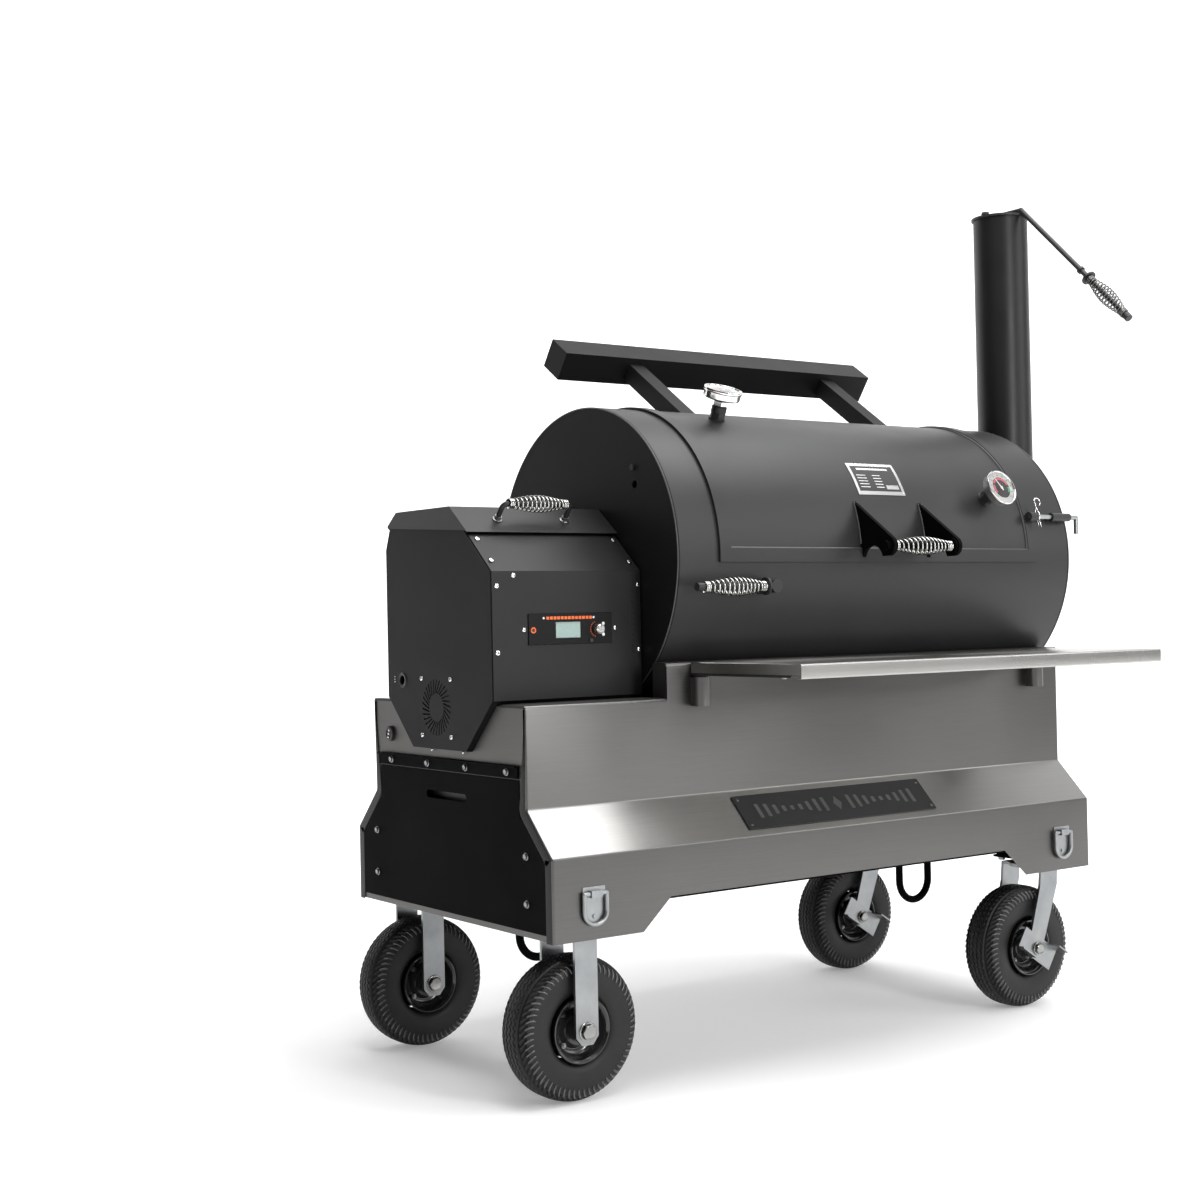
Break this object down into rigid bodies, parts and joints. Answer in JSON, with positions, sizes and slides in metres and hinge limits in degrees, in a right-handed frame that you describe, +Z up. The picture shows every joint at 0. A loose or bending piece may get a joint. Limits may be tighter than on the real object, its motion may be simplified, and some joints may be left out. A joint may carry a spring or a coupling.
{
  "type": "barrel smoker",
  "caption": "Pellet-fed barrel smoker on a stainless caster cart, with a counterweighted lid, side stack, pellet hopper and lift-off front shelf.",
  "frame": {"origin": "middle of the object's bounding box on the floor", "axes": "+X along the barrel towards the stack, -Y the front with the shelf, +Z up"},
  "size_m": [1.681, 0.943, 1.823],
  "materials": {
    "black_powder_coat": "satin powder coat",
    "stainless": "brushed",
    "zinc_plate": "bright zinc plate",
    "chrome_coil": "polished",
    "black_rim": "gloss",
    "tyre_rubber": "moulded tread",
    "display_glass": "clear",
    "black_plastic": "matt",
    "galvanised": "plain",
    "cast_grey": "heat-proof matt"
  },
  "bodies": {
    "cooker": {"cart_front_panel": "stainless", "cart_back_panel": "stainless", "cart_left_frame": "stainless", "access_panel": "black_powder_coat", "panel_strip": "black_powder_coat", "cart_right_panel": "black_powder_coat", "cart_underframe": "black_powder_coat", "hopper_stand": "black_powder_coat", "barrel_saddles": "black_powder_coat", "panel_bolts": "zinc_plate", "nameplate": "black_powder_coat", "d_ring_plates": "zinc_plate", "tie_down_loops": "black_powder_coat", "shelf_sockets": "stainless", "barrel_shell": "black_powder_coat", "barrel_end_plates": "black_powder_coat", "barrel_fittings": "black_powder_coat", "stack_pipe": "black_powder_coat", "hopper_casing": "black_powder_coat", "hopper_front_cover": "black_powder_coat", "hopper_bin": "galvanised", "control_panel": "black_plastic", "display_window": "display_glass", "power_inlet": "black_plastic", "auger_drive": "cast_grey", "heat_diffuser": "cast_grey", "cooking_grates": "cast_grey", "rigid_forks": "zinc_plate"},
    "lid": {"lid_panel": "black_powder_coat", "lid_flange": "black_powder_coat", "lid_handle_ears": "black_powder_coat", "lid_handle_grip": "chrome_coil", "counterweight": "black_powder_coat", "lid_thermometers": "chrome_coil", "rating_plate": "galvanised"},
    "stack_cap": {"stack_cap": "black_powder_coat", "stack_cap_grip": "chrome_coil"},
    "damper": {"damper_lever": "black_powder_coat", "damper_grip": "chrome_coil"},
    "hopper_lid": {"hopper_lid": "black_powder_coat", "hopper_lid_handle": "chrome_coil"},
    "auger": {"auger_screw": "galvanised"},
    "fan": {"fan_impeller": "black_plastic"},
    "knob": {"control_knob": "chrome_coil"},
    "shelf": {"shelf": "stainless"},
    "ring_left": {"d_ring_left": "zinc_plate"},
    "ring_right": {"d_ring_right": "zinc_plate"},
    "wheel_fl": {"tyre_fl": "tyre_rubber", "rim_fl": "black_rim"},
    "wheel_bl": {"tyre_bl": "tyre_rubber", "rim_bl": "black_rim"},
    "wheel_fr": {"tyre_fr": "tyre_rubber", "rim_fr": "black_rim"},
    "wheel_br": {"tyre_br": "tyre_rubber", "rim_br": "black_rim"},
    "swivel_front": {"swivel_fork_front": "zinc_plate"},
    "swivel_back": {"swivel_fork_back": "zinc_plate"},
    "brake_front": {"brake_front": "zinc_plate"},
    "brake_back": {"brake_back": "zinc_plate"},
    "latch": {"latch_pin": "zinc_plate"}
  },
  "joints": [
    {"name": "lid_hinge", "type": "hinge", "parent": "cooker", "child": "lid", "pos_m": [0.0715, 0.28713, 1.24707], "axis": [-1, 0, 0], "range_deg": [0, 75]},
    {"name": "stack_cap_swing", "type": "hinge", "parent": "cooker", "child": "stack_cap", "pos_m": [0.7725, 0.1625, 1.793], "axis": [0, 0, 1], "range_deg": [0, 100]},
    {"name": "damper_turn", "type": "hinge", "parent": "cooker", "child": "damper", "pos_m": [-0.2655, -0.2175, 0.913], "axis": [0, 1, 0], "range_deg": [0, 80]},
    {"name": "hopper_lid_hinge", "type": "hinge", "parent": "cooker", "child": "hopper_lid", "pos_m": [-0.6415, 0.301, 1.045], "axis": [-1, 0, 0], "range_deg": [0, 95]},
    {"name": "auger_spin", "type": "hinge", "parent": "cooker", "child": "auger", "pos_m": [-0.5405, 0.1165, 0.735], "axis": [1, 0, 0], "continuous": true},
    {"name": "fan_spin", "type": "hinge", "parent": "cooker", "child": "fan", "pos_m": [-0.7935, 0.1275, 0.696], "axis": [1, 0, 0], "continuous": true},
    {"name": "knob_turn", "type": "hinge", "parent": "cooker", "child": "knob", "pos_m": [-0.5805, -0.0835, 0.839], "axis": [0, -1, 0], "continuous": true},
    {"name": "shelf_lift", "type": "slide", "parent": "cooker", "child": "shelf", "axis": [0, 0, 1], "range_m": [0, 0.055]},
    {"name": "ring_left_swing", "type": "hinge", "parent": "cooker", "child": "ring_left", "pos_m": [-0.7135, -0.2451, 0.378], "axis": [-1, 0, 0], "range_deg": [0, 110]},
    {"name": "ring_right_swing", "type": "hinge", "parent": "cooker", "child": "ring_right", "pos_m": [0.5185, -0.2451, 0.378], "axis": [-1, 0, 0], "range_deg": [0, 110]},
    {"name": "wheel_fl_roll", "type": "hinge", "parent": "cooker", "child": "wheel_fl", "pos_m": [-0.7105, -0.1515, 0.13], "axis": [0, 1, 0], "continuous": true},
    {"name": "wheel_bl_roll", "type": "hinge", "parent": "cooker", "child": "wheel_bl", "pos_m": [-0.7105, 0.3845, 0.13], "axis": [0, 1, 0], "continuous": true},
    {"name": "swivel_front_turn", "type": "hinge", "parent": "cooker", "child": "swivel_front", "pos_m": [0.5145, -0.1515, 0.297], "axis": [0, 0, 1], "continuous": true},
    {"name": "swivel_back_turn", "type": "hinge", "parent": "cooker", "child": "swivel_back", "pos_m": [0.5145, 0.3845, 0.297], "axis": [0, 0, 1], "continuous": true},
    {"name": "wheel_fr_roll", "type": "hinge", "parent": "swivel_front", "child": "wheel_fr", "pos_m": [0.4665, -0.1515, 0.13], "axis": [0, 1, 0], "continuous": true},
    {"name": "wheel_br_roll", "type": "hinge", "parent": "swivel_back", "child": "wheel_br", "pos_m": [0.4665, 0.3845, 0.13], "axis": [0, 1, 0], "continuous": true},
    {"name": "brake_front_press", "type": "hinge", "parent": "swivel_front", "child": "brake_front", "pos_m": [0.4665, -0.2095, 0.13], "axis": [0, 1, 0], "range_deg": [-30, 0]},
    {"name": "brake_back_press", "type": "hinge", "parent": "swivel_back", "child": "brake_back", "pos_m": [0.4665, 0.3265, 0.13], "axis": [0, 1, 0], "range_deg": [-30, 0]},
    {"name": "latch_slide", "type": "slide", "parent": "cooker", "child": "latch", "axis": [1, 0, 0], "range_m": [-0.02, 0.036]}
  ]
}
